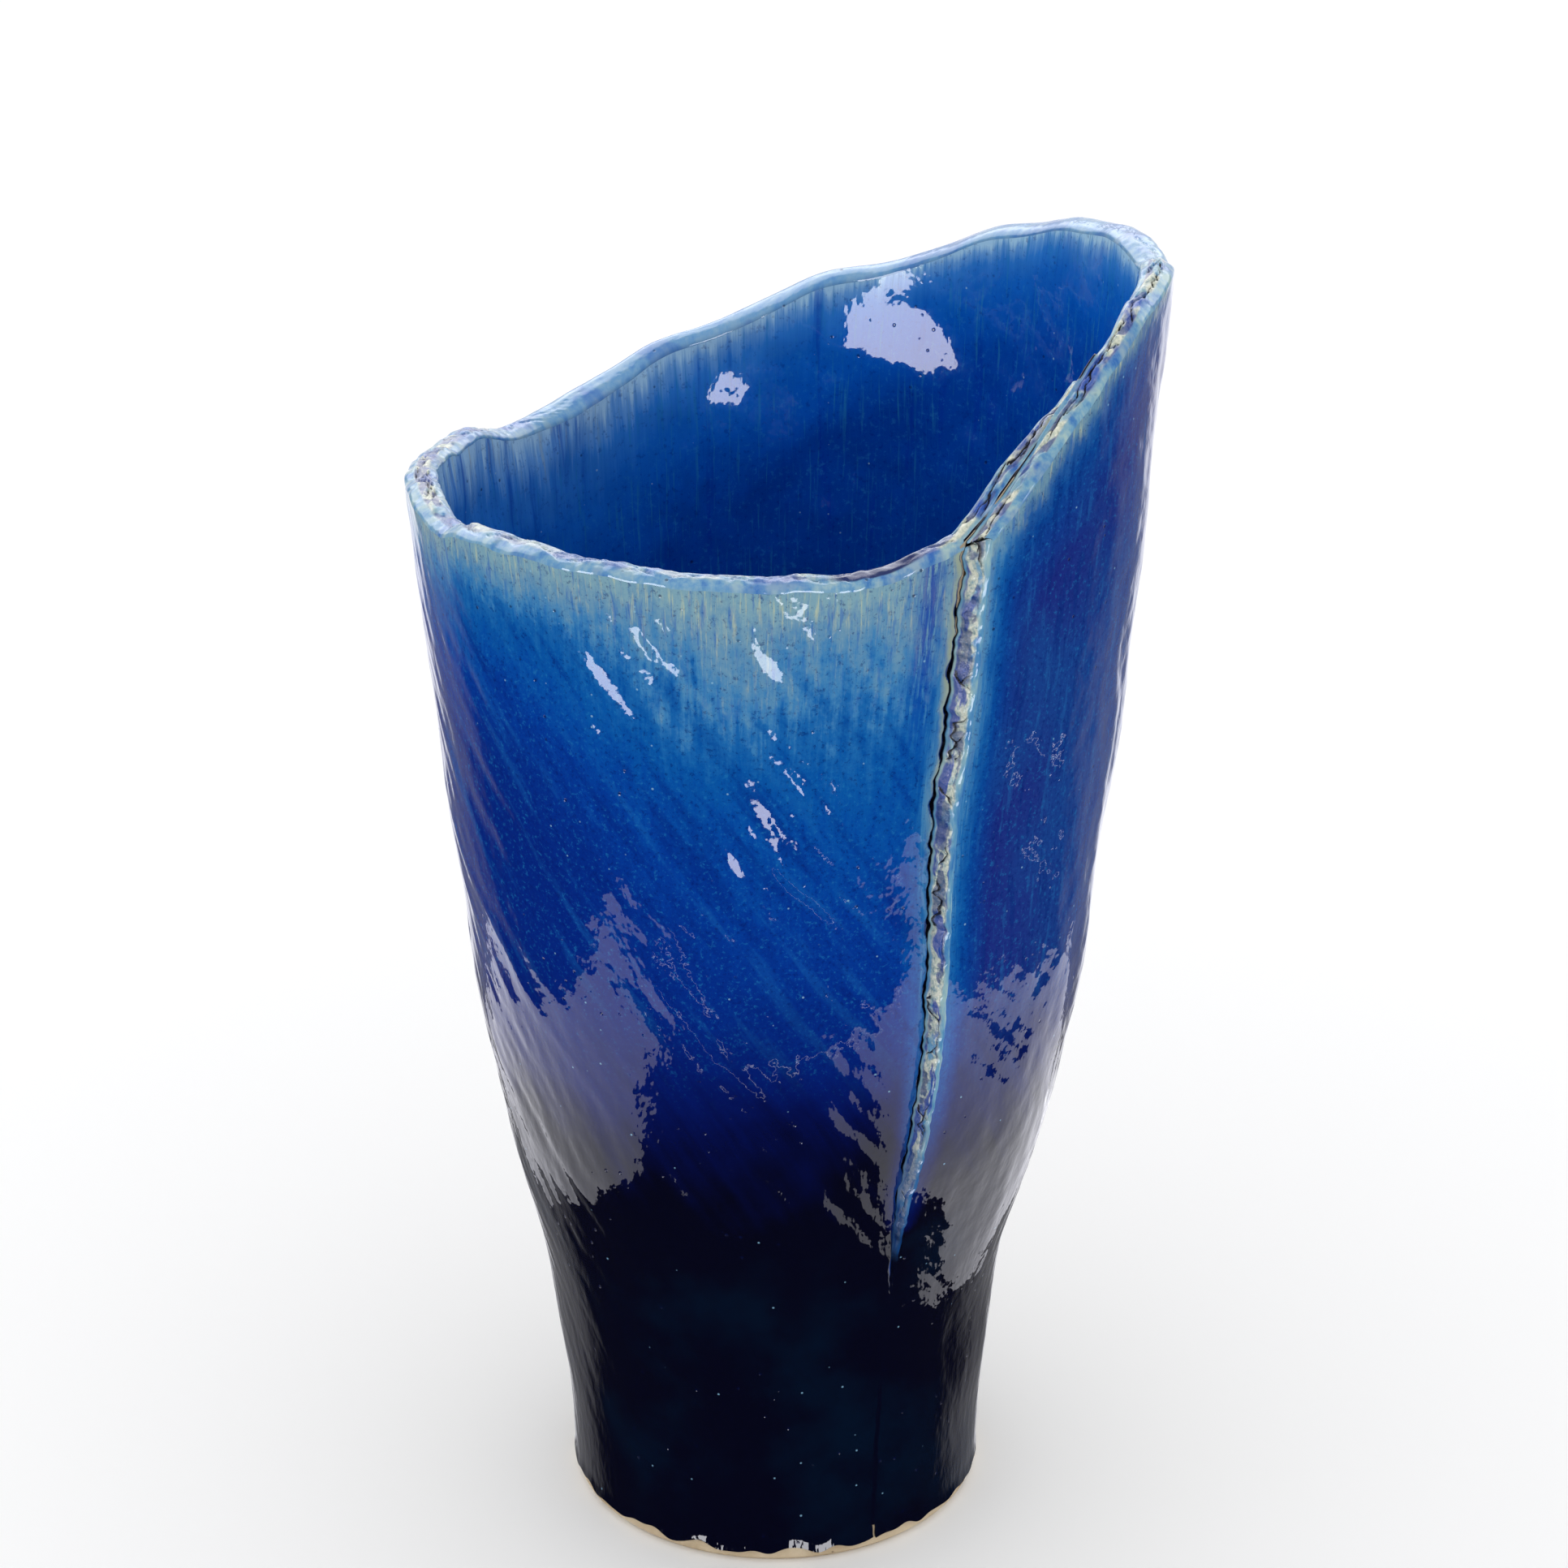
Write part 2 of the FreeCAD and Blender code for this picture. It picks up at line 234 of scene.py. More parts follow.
def lift(along, z):
    """How far the slab is lifted off the round of the body, where it passes over its own tucked end."""
    return lap_open(z) * (LAP_LAYER + SLIP) * (1.0 - smooth_step(LAP, LIFT_FADE, along))


def dents(along, z):
    """Relief the paddle left: slanting flutes on the front and left, upright ones right of the seam."""
    s = arc(along)
    slant = FLUTE_DEPTH * ripples(s, z, 11, 11.0, 0.35, -56.0, 13.0)
    slant += SCRATCH_DEPTH * ripples(s, z, 12, 4.0, 0.2, -60.0, 12.0)
    upright = FLUTE_DEPTH * ripples(s, z, 13, 14.0, 0.35, -78.0, 20.0)
    upright += SCRATCH_DEPTH * ripples(s, z, 14, 4.5, 0.3, -78.0, 20.0)
    strokes = mix(slant, upright, 1.0 - smooth_step(60.0, 120.0, along))
    broad = SWELL_DEPTH * swells(SEAM + along, z, 16, 52.0)
    for middle, level, extra in STRUCK_HARD:
        near = np.exp(-(((along - middle) / 11.0) ** 2) - ((z - level) / 28.0) ** 2)
        strokes = strokes * (1.0 + extra * near)
    strokes = strokes * smooth_step(1.0, 12.0, from_seam(along))
    strokes = strokes * mix(0.35, 1.0, smooth_step(60.0, 130.0, z))
    return (strokes + broad) * smooth_step(0.0, 40.0, z)


def outer_skin(along, z):
    """Radius of the glazed outside: the body, lifted over the tucked end, with dents and glaze."""
    return body_radius(along, z) + lift(along, z) + dents(along, z) + GLAZE


def outer_clay(along, z):
    """Radius of the slab's outer face. Past a full turn it is the joint's face under the lap."""
    tucked = lap_face(0.0, z) * smooth_step(FULL_TURN - TUCK, FULL_TURN, along)
    seen = outer_skin(np.minimum(along, FULL_TURN), z) - GLAZE - COAT_CLEARANCE - tucked
    return np.where(along > FULL_TURN, body_radius(along, z) - lap_face(along - FULL_TURN, z), seen)


def crack_bed(along, z):
    """How far the clay is sunk below the crack beside the lap, so that the glaze in the crack covers it."""
    return BED_DEPTH * lap_open(z) * np.exp(-(((along - FULL_TURN) / BED_WIDTH) ** 2))


def inner_clay(along, z):
    """Radius of the slab's inner face, which fingers left in smoother, broader waves than the outer one."""
    base = body_radius(along, z)
    pressed = base - lap_face(LAP, z) + SLIP
    thin = lap_open(z) * (SLAB - LAP_LAYER) * smooth_step(FULL_TURN - THICKEN, FULL_TURN, along)
    s = arc(along)
    waves = 0.30 * ripples(s, z, 21, 36.0, 0.3, 80.0, 40.0) + 0.10 * ripples(s, z, 22, 14.0, 0.3, 60.0, 40.0)
    for middle, level, depth in HOLLOWS:
        turned = along - middle - 4.0 * np.sin((z - level) / 9.0)
        near = np.exp(-((turned / 13.5) ** 2) - ((z - level) / 34.0) ** 2)
        waves += depth * near * np.sin(2 * np.pi * (z - level) / HOLLOW_LENGTH)
    waves *= smooth_step(15.0, 60.0, z) * smooth_step(LAP, LAP + 5.0, along)
    free = mix(pressed, base + lift(along, z) - SLAB, smooth_step(LAP, LAP + THICKEN, along)) + thin + waves
    return np.where(along < LAP, base - lap_face(along, z) + SLIP, free)


def bevel(along, z):
    """Degrees by which the outer face starts further along than the inner one, slanting the torn edge."""
    width = BEVEL_WIDTH * mix(BEVEL_LEFT, 1.0, smooth_step(LAP_CLOSED, BEVEL_FULL, z))
    return width / np.radians(body_radius(0.0, z)) * np.maximum(0.0, 1.0 - along / LAP)


def place(along, radius, z):
    """Points in metres about the axis, which leans towards -X. By the seam they follow the torn line."""
    away = from_seam(along)
    sway = curve_through(SEAM_WANDER, z) * (1.0 - smooth_step(4.0, 40.0, away))
    jag = 0.18 * ripples(0.0, z, 41, 13.0, 0.9, 0.0, 0.0) * (1.0 - smooth_step(0.6, 3.0, away))
    turn = np.radians(SEAM + along + sway + jag)
    x = radius * np.cos(turn) - LEAN * z / RIM_PEAK
    return np.stack(np.broadcast_arrays(x, radius * np.sin(turn), z), axis=-1) * MM


def spaced(start, end, coarse, fine, reach):
    """Stations from start to end that stand coarse apart, and fine apart within reach of either end."""
    probe = np.linspace(start, end, 4001)
    near = np.minimum(probe - start, end - probe)
    density = 1.0 / mix(fine, coarse, smooth_step(0.3 * reach, reach, near))
    count = np.concatenate([[0.0], np.cumsum((density[1:] + density[:-1]) / 2 * np.diff(probe))])
    return np.interp(np.linspace(0.0, count[-1], int(np.ceil(count[-1])) + 1), count, probe)


def shell(name, front, back, marks=None, columns=slice(None)):
    """Closed mesh between two grids of points: quads on the front, on the back, and round both rims.

    Front faces look along (first axis) x (second axis). Normals are worked out on the whole grid before
    columns picks a stretch of it, so that neighbouring stretches shade as one surface. marks are per-point
    attributes.
    """
    lean = np.cross(np.gradient(front, axis=0), np.gradient(front, axis=1))
    lean /= np.linalg.norm(lean, axis=-1, keepdims=True) + 1e-12
    front, back, lean = front[columns], back[columns], lean[columns]
    rows, cols = front.shape[:2]
    at = np.arange(rows * cols).reshape(rows, cols)
    under = at + rows * cols
    quads = [
        np.stack([at[:-1, :-1], at[1:, :-1], at[1:, 1:], at[:-1, 1:]], axis=-1).reshape(-1, 4),
        np.stack([under[:-1, :-1], under[:-1, 1:], under[1:, 1:], under[1:, :-1]], axis=-1).reshape(-1, 4),
    ]
    rim = np.concatenate([at[:-1, 0], at[-1, :-1], at[:0:-1, -1], at[0, :0:-1]])
    after = np.roll(rim, -1)
    quads.append(np.stack([rim, rim + rows * cols, after + rows * cols, after], axis=-1))
    quads = np.concatenate(quads)
    points = np.concatenate([front.reshape(-1, 3), back.reshape(-1, 3)])
    mesh = bpy.data.meshes.new(name)
    mesh.vertices.add(len(points))
    mesh.vertices.foreach_set("co", points.ravel())
    mesh.loops.add(quads.size)
    mesh.loops.foreach_set("vertex_index", quads.ravel())
    mesh.polygons.add(len(quads))
    mesh.polygons.foreach_set("loop_start", np.arange(0, quads.size, 4))
    mesh.update(calc_edges=True)
    mesh.polygons.foreach_set("use_smooth", np.ones(len(quads), bool))
    for key, values in (marks or {}).items():
        values = values[columns]
        kind, field = ("FLOAT_VECTOR", "vector") if values.ndim == 3 else ("FLOAT", "value")
        both = np.concatenate([values.reshape(rows * cols, -1)] * 2)
        mesh.attributes.new(key, kind, "POINT").data.foreach_set(field, both.ravel())
    normals = np.concatenate([lean.reshape(-1, 3), -lean.reshape(-1, 3)])
    mesh.normals_split_custom_set_from_vertices(normals.tolist())
    piece = bpy.data.objects.new(name, mesh)
    bpy.context.collection.objects.link(piece)
    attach(piece, "root")
    return piece


along = spaced(0.0, FULL_TURN + LAP, 1.8, 0.35, 8.0)[:, None]
up = np.linspace(0.0, 1.0, WALL_ROWS)[None, :]
wall = []
for through, face in ((0.0, outer_clay), (1.0, inner_clay)):
    z = mix(FLOOR + SLIP, lip_edge(along, through) - GLAZE, up)
    on_edge = along + (1.0 - through) * bevel(along, z) * (along < FULL_TURN)
    inset = COAT_CLEARANCE * through * (along > LAP)
    bed = (1.0 - through) * crack_bed(on_edge, z)
    wall.append(place(on_edge, face(on_edge, z) + inset - bed, z))
wall_slab = shell("wall_slab_clay", *wall)
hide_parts("wall_slab")


class Wire:
    """A shader socket. + - * / on it add Math nodes, and node() adds any node to the same tree."""

    def __init__(self, tree, socket=None):
        self.tree = tree
        self.socket = socket

    def node(self, kind, settings=None, values=None, output=0):
        """Adds a node: settings first, a colour ramp's stops among them, then sockets by name or number."""
        made = self.tree.nodes.new(kind)
        for name, value in (settings or {}).items():
            if name == "stops":
                ramp = made.color_ramp
                while len(ramp.elements) < len(value):
                    ramp.elements.new(1.0)
                for element, (position, colour) in zip(ramp.elements, value):
                    element.position, element.color = position, colour
            else:
                setattr(made, name, value)
        for name, value in (values or {}).items():
            if isinstance(value, Wire):
                self.tree.links.new(value.socket, made.inputs[name])
            else:
                made.inputs[name].default_value = value
        return Wire(self.tree, made.outputs[output])

    def math(self, operation, *values):
        """Math node on its values, which are wires of this tree or numbers."""
        return self.node("ShaderNodeMath", {"operation": operation}, dict(enumerate(values)))

    def __add__(self, other):
        return self.math("ADD", self, other)

    def __sub__(self, other):
        return self.math("SUBTRACT", self, other)

    def __rsub__(self, other):
        return self.math("SUBTRACT", other, self)

    def __mul__(self, other):
        return self.math("MULTIPLY", self, other)

    def __truediv__(self, other):
        return self.math("DIVIDE", self, other)

    def __rtruediv__(self, other):
        return self.math("DIVIDE", other, self)

    def __abs__(self):
        return self.math("ABSOLUTE", self)

    __radd__, __rmul__ = __add__, __mul__

    def smaller(self, other, blend):
        """The smaller of two values, rounded over where they are within blend of each other."""
        return self.math("SMOOTH_MIN", self, other, blend)

    def wrapped(self, low, high):
        """This value carried round into the range from low to high."""
        return self.math("WRAP", self, high, low)

    def between(self, low, high):
        """0 below low, 1 above high, smooth between them."""
        settings = {"interpolation_type": "SMOOTHSTEP"}
        return self.node("ShaderNodeMapRange", settings, {"Value": self, "From Min": low, "From Max": high})

    def over(self, colour, factor):
        """This colour, with another laid over it by factor."""
        return self.node("ShaderNodeMix", {"data_type": "RGBA"}, {0: factor, 6: self, 7: colour}, 2)

    def ramp(self, stops):
        """Colour ramp through (position, colour) stops."""
        return self.node("ShaderNodeValToRGB", {"stops": stops}, {"Fac": self})

    def scaled(self, x, y, z=0.0):
        """This vector with each part multiplied."""
        return self.node("ShaderNodeVectorMath", {"operation": "MULTIPLY"}, {0: self, 1: (x, y, z)})

    def turned(self, degrees):
        """This vector turned about its third part."""
        values = {"Vector": self, "Rotation": (0.0, 0.0, np.radians(degrees))}
        return self.node("ShaderNodeMapping", None, values)

    def noise(self, scale=1.0, detail=2.0, rough=0.5):
        """Cloud noise at this vector, about 0.5."""
        values = {"Vector": self, "Scale": scale, "Detail": detail, "Roughness": rough}
        return self.node("ShaderNodeTexNoise", None, values)

    def cells(self, scale=1.0, output="Distance"):
        """Voronoi cells at this vector: distance to the nearest cell's point, or that cell's own colour."""
        return self.node("ShaderNodeTexVoronoi", None, {"Vector": self, "Scale": scale}, output)


def paint(red, green, blue):
    """Linear colour of a paint given in screen values from 0 to 255."""
    screen = np.array([red, green, blue]) / 255.0
    linear = np.where(screen <= 0.04045, screen / 12.92, ((screen + 0.055) / 1.055) ** 2.4)
    return (*linear.tolist(), 1.0)


def material(name, **flat):
    """New material: its tree's starting wire and its Principled shader, with constants set on the sockets."""
    made = bpy.data.materials.new(name)
    made.use_nodes = True
    tree = made.node_tree
    shader = tree.nodes["Principled BSDF"]
    for socket, value in flat.items():
        shader.inputs[socket.replace("_", " ")].default_value = value
    return made, Wire(tree), shader


def connect(shader, **wires):
    """Links wires to the shader's sockets, named with _ for a space."""
    for socket, wire in wires.items():
        wire.tree.links.new(wire.socket, shader.inputs[socket.replace("_", " ")])


def grog_clay(name, light, dark):
    """Bare fired clay: warm mottling, dark grog specks, and a gritty face."""
    made, start, shader = material(name, Roughness=0.85)
    spot = start.node("ShaderNodeTexCoord", output="Object")
    mottle = spot.noise(60.0, 5.0, 0.6)
    colour = mottle.ramp([(0.35, dark), (0.65, light)])
    speck = 1.0 - spot.cells(420.0).between(0.08, 0.20)
    colour = colour.over(paint(70, 52, 40), speck * spot.noise(90.0).between(0.5, 0.62))
    grit = spot.noise(900.0, 4.0, 0.65) + spot.noise(160.0, 3.0) * 0.8
    bump = start.node("ShaderNodeBump", None, {"Strength": 0.35, "Distance": 0.0006, "Height": grit})
    connect(shader, Base_Color=colour, Normal=bump)
    return made


wall_slab.data.materials.append(grog_clay("wall_clay", paint(214, 203, 182), paint(186, 170, 144)))


# ---- The floor disc ------------------------------------------------------------------------------------
# A disc cut from the same clay, left bare and sponged smooth underneath, with its lower edge rounded so that
# the foot doesn't chip. Slip and a coil of soft clay, pressed in with a thumb, join the wall to it.

floor_clay = grog_clay("floor_clay", paint(205, 188, 160), paint(176, 154, 122))
slip_clay = grog_clay("joint_slip", paint(170, 156, 134), paint(146, 130, 106))
for node, clay in (
    ("floor_slab", floor_clay), ("floor_joint_coil", floor_clay),
    ("floor_joint_slip", slip_clay), ("lap_joint_slip", slip_clay),
):
    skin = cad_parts[node].data.materials
    skin.clear()
    skin.append(clay)


# ---- The outer coat of glaze ---------------------------------------------------------------------------
# A runny, glossy copper and cobalt glaze. It thins to cream and turquoise at the rim and along the torn
# edge, streaks as it runs, and pools to near black towards the foot, where it stops in a thick roll above
# bare clay.

GLAZE_LINE = 4.0
ROLL = 0.45
ROLL_HEIGHT = 1.6
CRACK_DEPTH = 1.5
SECTORS = 4
PALE_REACH = [
    (0, 10), (12, 9), (35, 6), (70, 6), (150, 15), (230, 10), (265, 12), (290, 17), (315, 30), (335, 36),
    (360, 38),
]
POOL_OFF_SEAM = 8.0
POOL_WIDTH = 3.4
COAT_ROWS = 290

turn = spaced(0.0, FULL_TURN, 0.78, 0.20, 6.0)[:, None]
up = np.linspace(0.0, 1.0, COAT_ROWS)[None, :]
foot_line = GLAZE_LINE + 0.7 * ripples(arc(turn), 0.0, 51, 30.0, 0.4, 90.0, 0.0)
z = mix(foot_line, lip_edge(turn, 0.0), up)
on_skin = turn + bevel(turn, z)
z = mix(foot_line, lip_edge(on_skin, 0.0), up)
skin = outer_skin(on_skin, z) + ROLL * np.exp(-(((z - foot_line) / ROLL_HEIGHT) ** 2))
crack_width = 0.34 + 0.13 * ripples(0.0, z, 43, 17.0, 0.5, 0.0, 0.0)
inside_crack = np.exp(-((FULL_TURN - turn) / crack_width) ** 2) * lap_open(z)
skin -= CRACK_DEPTH * inside_crack
open_distance = np.minimum(arc(FULL_TURN - turn), 2.4 + 0.30 * arc(turn) + 0.06 * arc(turn) ** 2)
off_pool = (arc(FULL_TURN - turn) - POOL_OFF_SEAM) / POOL_WIDTH
marks = {
    "run": np.stack(np.broadcast_arrays(arc(on_skin), z, 0.0 * z), axis=-1),
    "drop": lip_edge(on_skin, 0.0) - z,
    "reach": curve_through(PALE_REACH, turn) + 0.0 * z,
    "seam": open_distance + 60.0 * (1.0 - smooth_step(LAP_CLOSED, LAP_OPEN - 25.0, z)),
    "relief": dents(on_skin, z),
    "crack": inside_crack,
    "right": (turn < 180.0) + 0.0 * z,
    "ink": (1.0 - smooth_step(50.0, 100.0, turn)) * smooth_step(0.0, 8.0, turn) + 0.0 * z,
    "pool": np.exp(-(off_pool ** 2)) * (1.0 - smooth_step(18.0, 75.0, lip_edge(turn, 0.0) - z)),
}
front = place(on_skin, skin, z)
back = place(on_skin, np.minimum(skin - GLAZE, outer_skin(on_skin, z) - GLAZE), z)


def glossy_glaze(name, body_colour, coarse=0.0, specks=1.0):
    """Glass-smooth glaze. body_colour(wires) colours it; specks, pinholes and faint waves are added."""
    made, start, shader = material(name, IOR=1.52)
    wires = {key: start.node("ShaderNodeAttribute", {"attribute_name": key}, output="Fac") for key in
             ("drop", "reach", "seam", "relief", "crack", "right", "ink", "torn", "pool")}
    wires["run"] = start.node("ShaderNodeAttribute", {"attribute_name": "run"}, output="Vector")
    wires["spot"] = start.node("ShaderNodeTexCoord", output="Object")
    run, spot = wires["run"], wires["spot"]
    colour, rough = body_colour(wires)
    pick = start.node("ShaderNodeSeparateColor", None, {"Color": spot.cells(260.0, output="Color")})
    speck = (1.0 - spot.cells(260.0).between(0.05, 0.11)) * pick.between(0.84, 0.87) * specks
    colour = colour.over(paint(130, 176, 204), speck * 0.7)
    hole = (1.0 - spot.cells(190.0).between(0.05, 0.12)) * spot.noise(28.0, 2.0).between(0.46, 0.60)
    colour = colour.over(paint(6, 16, 60), hole * 0.7)
    swell = run.scaled(0.22, 0.14).noise(1.0, 2.0) * 0.9 + run.scaled(0.8, 0.5).noise(1.0, 2.0) * 0.06
    height = swell - hole * 0.35 + wires["torn"] * spot.noise(1500.0, 4.0, 0.7) * coarse
    bump = start.node("ShaderNodeBump", None, {"Strength": 0.5, "Distance": 0.0005, "Height": height})
    connect(shader, Base_Color=colour, Roughness=rough, Normal=bump)
    return made


def outer_colour(wires):
    """Pale to cobalt by depth below the rim or from the seam, then near black low down, with runs."""
    run, spot = wires["run"], wires["spot"]
    cloud = spot.noise(34.0, 3.0)
    grain = spot.noise(330.0, 4.0, 0.7)
    streak = run.scaled(0.40, 0.035).noise(1.0, 4.0, 0.62)
    thread = run.scaled(1.1, 0.070).noise(1.0, 4.0, 0.7)
    flute = run.turned(56.0).scaled(0.020, 0.17).noise(1.0, 3.0, 0.55)
    near_rim = wires["drop"] / wires["reach"] + (cloud - 0.5) * 1.0
    near_rim = near_rim + (streak - 0.5) * 1.3 + (thread - 0.5) * 0.7
    near_rim = near_rim + (grain - 0.5) * 0.9 + (flute - 0.5) * 0.9
    near_seam = wires["seam"] * 0.24 + 0.10 + (streak - 0.5) * 1.2 + (thread - 0.5) * 1.4
    near_seam = near_seam + wires["drop"].between(50.0, 180.0) * 1.0
    depth = near_rim.smaller(near_seam, 0.4) - wires["relief"] * 0.12
    shade = (depth * (1.0 / 6.0)).ramp([
        (0.00, paint(120, 158, 174)), (0.04, paint(102, 144, 172)), (0.09, paint(82, 134, 174)),
        (0.13, paint(60, 124, 176)), (0.18, paint(26, 98, 166)), (0.25, paint(8, 82, 158)),
        (0.34, paint(4, 70, 154)), (0.46, paint(3, 54, 144)), (0.60, paint(3, 44, 132)),
        (0.85, paint(3, 36, 122)),
    ])
    # Right of the seam the blue turns violet lower down. That violet tint is partly the glaze's own colour
    # and partly a painted reflection of the lavender studio light. The noise below picks where it stays.
    ink = (depth * (1.0 / 6.0)).ramp([
        (0.00, paint(104, 142, 164)), (0.08, paint(70, 112, 154)), (0.16, paint(32, 84, 150)),
        (0.28, paint(8, 64, 140)), (0.50, paint(16, 54, 134)), (0.80, paint(24, 40, 120)),
        (1.00, paint(26, 46, 124)),
    ])
    violet_and_reflection = spot.noise(17.0, 3.0, 0.5).between(0.44, 0.60)
    ink = ink.over(paint(20, 66, 138), (1.0 - violet_and_reflection) * depth.between(1.4, 3.0) * 0.7)
    colour = shade.over(ink, wires["ink"])
    deep = depth.between(0.7, 2.0)
    slant = deep * (1.0 - wires["ink"])
    colour = colour.over(paint(2, 34, 118), flute.between(0.50, 0.66) * slant * 0.45)
    colour = colour.over(paint(22, 94, 168), (1.0 - flute.between(0.34, 0.46)) * slant * 0.30)
    colour = colour.over(paint(4, 40, 116), streak.between(0.52, 0.62) * deep * wires["ink"] * 0.5)
    colour = colour.over(paint(30, 92, 158), (1.0 - streak.between(0.36, 0.44)) * deep * wires["ink"] * 0.4)
    sand = spot.noise(700.0, 3.0, 0.8)
    colour = colour.over(paint(28, 112, 172), sand.between(0.54, 0.72) * depth.between(0.5, 1.4) * 0.55)
    colour = colour.over(paint(2, 26, 100), (1.0 - sand.between(0.32, 0.46)) * 0.55)
    pale = thread.between(0.50, 0.72) * (1.0 - depth.between(0.1, 1.1))
    colour = colour.over(paint(184, 192, 160), pale * 0.8)
    blue = run.scaled(0.7, 0.08).noise(1.0, 4.0, 0.6).between(0.52, 0.68) * (1.0 - depth.between(0.4, 1.4))
    colour = colour.over(paint(30, 88, 170), blue * 0.55)
    colour = colour.over(paint(0, 54, 154), wires["pool"] * thread.between(0.34, 0.56) * 0.85)
    beside = wires["seam"] + wires["drop"].between(20.0, 110.0) * 2.2 + (thread - 0.5) * 1.6
    cream = (1.0 - beside.between(1.0, 3.2)) * (0.80 - wires["right"] * 0.45)
    colour = colour.over(paint(164, 172, 142), cream)
    level = run.node("ShaderNodeSeparateXYZ", None, {0: run}, 1) + (cloud - 0.5) * 46.0 + (flute - 0.5) * 26.0
    level = level + (1.0 - wires["seam"].between(0.0, 8.0)) * 38.0
    colour = colour.over(paint(3, 18, 92), 1.0 - level.between(146.0, 206.0))
    colour = colour.over(paint(4, 5, 24), 1.0 - level.between(124.0, 174.0))
    teal = spot.noise(22.0, 4.0, 0.6).between(0.45, 0.7) * (1.0 - level.between(104.0, 124.0))
    colour = colour.over(paint(3, 22, 44), teal * 0.6)
    colour = colour.over(paint(16, 52, 118), wires["crack"].between(0.0, 0.06))
    colour = colour.over(paint(6, 7, 22), wires["crack"].between(0.10, 0.35))
    return colour, spot.noise(40.0) * 0.03 + 0.025


outer_glaze = glossy_glaze("outer_glaze", outer_colour)
edges = np.linspace(0, len(turn) - 1, SECTORS + 1).astype(int)
for i in range(SECTORS):
    coat = shell(f"outer_glaze_{i + 1}", front, back, marks, slice(edges[i], edges[i + 1] + 1))
    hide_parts("outer_glaze")
    coat.data.materials.append(outer_glaze)


# ---- The torn edge of the lap --------------------------------------------------------------------------
# The slab was torn, not cut, so the edge that runs down the front is ragged clay, split and pitted. Glaze
# breaks to cream over it and pools blue in its splits. A dark crack is left where it meets the layer below.

EDGE_ROWS = 720
EDGE_COLUMNS = 26
CRACK_HALF = 0.45
LIP_CROWN = 2.0


def crown_over(through):
    """Rise of the lip's rounded top over its edges: flat in the middle, and upright at both edges."""
    return LIP_CROWN * np.sqrt(np.maximum(0.0, 1.0 - np.abs(2.0 * through - 1.0) ** 2.4))


def terraces(s, x, seed, length):
    """Ledges from 0 to 1 with abrupt steps along the tear: long ripples pushed hard through a tanh."""
    return 0.5 + 0.5 * np.tanh(2.5 * ripples(s, x, seed, length, 0.4, 0.0, 24.0))


def split(s, x, centre, seed, width):
    """1 in the middle of a meandering split at x = centre, 0 beside it."""
    meander = centre + 0.9 * ripples(s, 0.0, seed, 26.0, 0.4, 90.0, 0.0)
    meander += 0.22 * ripples(s, 0.0, seed + 1, 5.0, 0.4, 90.0, 0.0)
    return np.exp(-(((x - meander) / width) ** 2))


up = np.linspace(0.0, 1.0, EDGE_ROWS)[None, :]
across = np.linspace(0.0, 1.0, EDGE_COLUMNS)[:, None]
z = mix(FLOOR + SLIP, lip_edge(0.0, 0.0), up)
width = bevel(0.0, z)
start = mix(-CRACK_HALF, width, across)
z = mix(FLOOR + SLIP, lip_edge(np.maximum(start, 0.0), 0.0) + crown_over(across), up)
free = lap_open(z)
sunk = outer_skin(0.0, z) - lift(0.0, z) - (CRACK_DEPTH + 0.2) * free
brow = outer_skin(width, z)
rise = mix(sunk, brow, smooth_step(0.0, 1.0, across ** 0.62))
x = across * BEVEL_WIDTH
middle = smooth_step(0.14, 0.32, across) * smooth_step(0.15, 0.50, 1.0 - across)
gap = split(z, x, 1.7, 61, 0.22) * smooth_step(-0.8, 0.3, ripples(z, 0.0, 63, 38.0, 0.3, 90.0, 0.0))
second = split(z, x, 2.7, 67, 0.14) * smooth_step(0.0, 0.6, ripples(z, 0.0, 69, 30.0, 0.3, 90.0, 0.0))
gap = np.maximum(gap, second)
tear = 0.60 * terraces(0.30 * z, x, 64, 2.8)
tear += 0.12 * ripples(z, x, 65, 3.0, 0.4, 0.0, 45.0) + 0.05 * ripples(z, x, 66, 1.3, 0.3, 0.0, 60.0)
rise = rise + (tear * middle - 1.1 * gap * middle) * free
marks = {
    "run": np.stack(np.broadcast_arrays(x, z, 0.0 * z), axis=-1),
    "crack": np.maximum(gap * middle, 1.0 - smooth_step(0.08, 0.21, across)) * free,
    "torn": middle * free,
    "relief": tear * middle,
}
seam_front = place(start, rise, z)
seam_back = place(start, np.minimum(rise, mix(sunk, brow, across)) - GLAZE, z)


